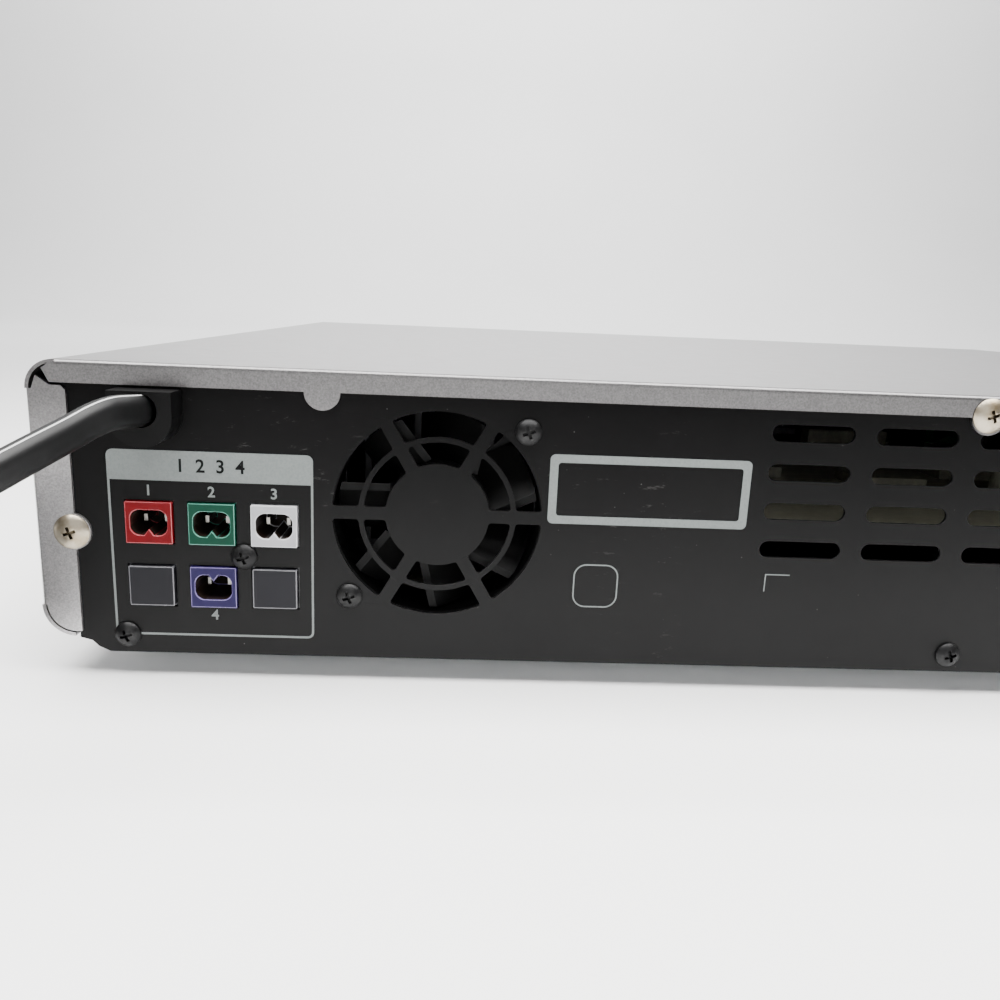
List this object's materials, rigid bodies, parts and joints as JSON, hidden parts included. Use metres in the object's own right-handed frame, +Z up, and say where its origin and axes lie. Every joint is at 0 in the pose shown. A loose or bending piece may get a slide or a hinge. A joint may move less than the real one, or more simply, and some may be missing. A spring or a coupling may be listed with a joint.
{
  "type": "disc player with tray",
  "caption": "Slim silver and black disc player with a motor driven disc tray, a vented rear panel with fan grille, loudspeaker sockets and mains cord",
  "frame": {"origin": "centre of the bounding box without the cord, on the surface that the feet stand on", "axes": "+Z up, the front with the tray faces -Y, the rear panel faces +Y, +X is to the right seen from the front"},
  "size_m": [0.534, 0.4621, 0.0735],
  "materials": {
    "cover_paint": "fine-grained silver-grey paint, satin",
    "chassis_steel": "zinc-plated sheet, dull",
    "panel_black": "semi-matt black paint",
    "front_silver": "silver painted moulding, satin",
    "knob_silver": "turned, satin",
    "smoke_window": "smoked clear plastic",
    "tube_glass": "display tube",
    "black_plastic": "fine texture",
    "grey_plastic": "moulded",
    "white_plastic": "acetal, satin",
    "socket_red": "moulded",
    "socket_green": "moulded",
    "socket_white": "moulded",
    "socket_purple": "moulded",
    "blank_grey": "moulded",
    "pin_tin": "tin plated",
    "screw_zinc": "zinc plated",
    "screw_black": "black oxide, worn",
    "board_tan": "paper laminate",
    "board_green": "glass laminate with lacquer",
    "fin_aluminium": "extruded",
    "core_steel": "varnished laminations",
    "motor_steel": "drawn can",
    "deck_steel": "pressed plate",
    "rod_steel": "ground",
    "belt_rubber": "matt",
    "foot_rubber": "matt",
    "lamp_red": "clear red",
    "cable_white": "flat cable",
    "cord_black": "flexible sheath"
  },
  "bodies": {
    "case": {"top_cover": "cover_paint", "chassis_base": "chassis_steel", "rear_panel": "panel_black", "feet": "foot_rubber", "front_panel": "front_silver", "display_window": "smoke_window", "display_tube": "tube_glass", "front_board": "board_green", "volume_encoder": "motor_steel", "phone_socket": "black_plastic", "standby_lamp": "lamp_red", "socket_red": "socket_red", "socket_green": "socket_green", "socket_white": "socket_white", "socket_purple": "socket_purple", "socket_blanks": "blank_grey", "socket_pins": "pin_tin", "socket_board": "board_tan", "cover_screws": "screw_zinc", "panel_screws": "screw_black", "fan_frame": "black_plastic", "heatsink": "fin_aluminium", "power_board": "board_tan", "transformer": "core_steel", "main_board": "board_tan", "phono_sockets": "black_plastic", "aerial_sockets": "black_plastic", "ribbon_cables": "cable_white", "loader_frame": "black_plastic", "drive_belt": "belt_rubber", "loading_motor": "motor_steel", "clamp_bridge": "chassis_steel", "cord_bushing": "black_plastic", "power_cord": "cord_black", "cord_coil": "cord_black", "cord_tail": "cord_black", "cord_plug": "cord_black"},
    "tray_body": {"tray": "black_plastic", "tray_bezel": "front_silver"},
    "tray_gear_body": {"tray_gear": "white_plastic"},
    "pulley_gear_body": {"pulley_gear": "white_plastic"},
    "motor_pulley_body": {"motor_pulley": "white_plastic"},
    "cam_body": {"cam_slider": "white_plastic"},
    "deck_body": {"deck": "deck_steel", "spindle_motor": "motor_steel", "guide_rods": "rod_steel", "feed_motor": "motor_steel"},
    "turntable_body": {"turntable": "grey_plastic"},
    "pickup_body": {"pickup": "grey_plastic"},
    "feed_gear_body": {"feed_gear": "white_plastic"},
    "feed_pinion_body": {"feed_pinion": "white_plastic"},
    "clamper_body": {"clamper": "grey_plastic"},
    "fan_body": {"fan_rotor": "grey_plastic"},
    "knob_body": {"volume_knob": "knob_silver"},
    "power_button_body": {"power_button": "front_silver"},
    "open_button_body": {"open_button": "front_silver"},
    "play_button_body": {"play_button": "front_silver"},
    "stop_button_body": {"stop_button": "front_silver"},
    "back_button_body": {"back_button": "front_silver"},
    "forward_button_body": {"forward_button": "front_silver"}
  },
  "joints": [
    {"name": "tray_slide", "type": "slide", "parent": "case", "child": "tray_body", "axis": [0, -1, 0], "range_m": [0, 0.138]},
    {"name": "tray_gear_turn", "type": "hinge", "parent": "case", "child": "tray_gear_body", "pos_m": [-0.044, -0.13225, 0.036], "axis": [0, 0, 1], "range_deg": [0, 662]},
    {"name": "pulley_gear_turn", "type": "hinge", "parent": "case", "child": "pulley_gear_body", "pos_m": [-0.044, -0.11325, 0.036], "axis": [0, 0, 1], "range_deg": [-1133, 0]},
    {"name": "motor_pulley_turn", "type": "hinge", "parent": "case", "child": "motor_pulley_body", "pos_m": [-0.044, -0.08325, 0.03], "axis": [0, 0, 1], "range_deg": [-3888, 0]},
    {"name": "cam_slide", "type": "slide", "parent": "case", "child": "cam_body", "axis": [1, 0, 0], "range_m": [0, 0.0142]},
    {"name": "deck_tilt", "type": "hinge", "parent": "case", "child": "deck_body", "pos_m": [0.008, -0.01425, 0.03875], "axis": [1, 0, 0], "range_deg": [0, 3.98]},
    {"name": "turntable_spin", "type": "hinge", "parent": "deck_body", "child": "turntable_body", "pos_m": [0, -0.10925, 0.046], "axis": [0, 0, 1], "continuous": true},
    {"name": "pickup_slide", "type": "slide", "parent": "deck_body", "child": "pickup_body", "axis": [0, 1, 0], "range_m": [0, 0.035]},
    {"name": "feed_gear_turn", "type": "hinge", "parent": "deck_body", "child": "feed_gear_body", "pos_m": [0.031, -0.06525, 0.042], "axis": [0, 0, 1], "range_deg": [-226, 0]},
    {"name": "feed_pinion_turn", "type": "hinge", "parent": "deck_body", "child": "feed_pinion_body", "pos_m": [0.031, -0.05025, 0.042], "axis": [0, 0, 1], "range_deg": [0, 338]},
    {"name": "clamper_spin", "type": "hinge", "parent": "case", "child": "clamper_body", "pos_m": [0, -0.10925, 0.056], "axis": [0, 0, 1], "continuous": true},
    {"name": "fan_spin", "type": "hinge", "parent": "case", "child": "fan_body", "pos_m": [0.125, 0.17175, 0.0413], "axis": [0, 1, 0], "continuous": true},
    {"name": "volume_turn", "type": "hinge", "parent": "case", "child": "knob_body", "pos_m": [0.168, -0.18225, 0.04], "axis": [0, -1, 0], "continuous": true},
    {"name": "power_press", "type": "slide", "parent": "case", "child": "power_button_body", "axis": [0, 1, 0], "range_m": [0, 0.0008], "stiffness_N_per_m": 800, "springref_m": -0.0005},
    {"name": "open_press", "type": "slide", "parent": "case", "child": "open_button_body", "axis": [0, 1, 0], "range_m": [0, 0.0008], "stiffness_N_per_m": 800, "springref_m": -0.0005},
    {"name": "play_press", "type": "slide", "parent": "case", "child": "play_button_body", "axis": [0, 1, 0], "range_m": [0, 0.0008], "stiffness_N_per_m": 800, "springref_m": -0.0005},
    {"name": "stop_press", "type": "slide", "parent": "case", "child": "stop_button_body", "axis": [0, 1, 0], "range_m": [0, 0.0008], "stiffness_N_per_m": 800, "springref_m": -0.0005},
    {"name": "back_press", "type": "slide", "parent": "case", "child": "back_button_body", "axis": [0, 1, 0], "range_m": [0, 0.0008], "stiffness_N_per_m": 800, "springref_m": -0.0005},
    {"name": "forward_press", "type": "slide", "parent": "case", "child": "forward_button_body", "axis": [0, 1, 0], "range_m": [0, 0.0008], "stiffness_N_per_m": 800, "springref_m": -0.0005}
  ],
  "couplings": [
    {"joint": "tray_gear_turn", "follows": "tray_slide", "rad_per_m": 83.333},
    {"joint": "pulley_gear_turn", "follows": "tray_slide", "rad_per_m": -142.86},
    {"joint": "motor_pulley_turn", "follows": "tray_slide", "rad_per_m": -490.35},
    {"joint": "cam_slide", "follows": "tray_slide", "ratio": 0.10145},
    {"joint": "deck_tilt", "follows": "tray_slide", "rad_per_m": 0.49747},
    {"joint": "feed_gear_turn", "follows": "pickup_slide", "rad_per_m": -111.11},
    {"joint": "feed_pinion_turn", "follows": "pickup_slide", "rad_per_m": 166.67}
  ]
}
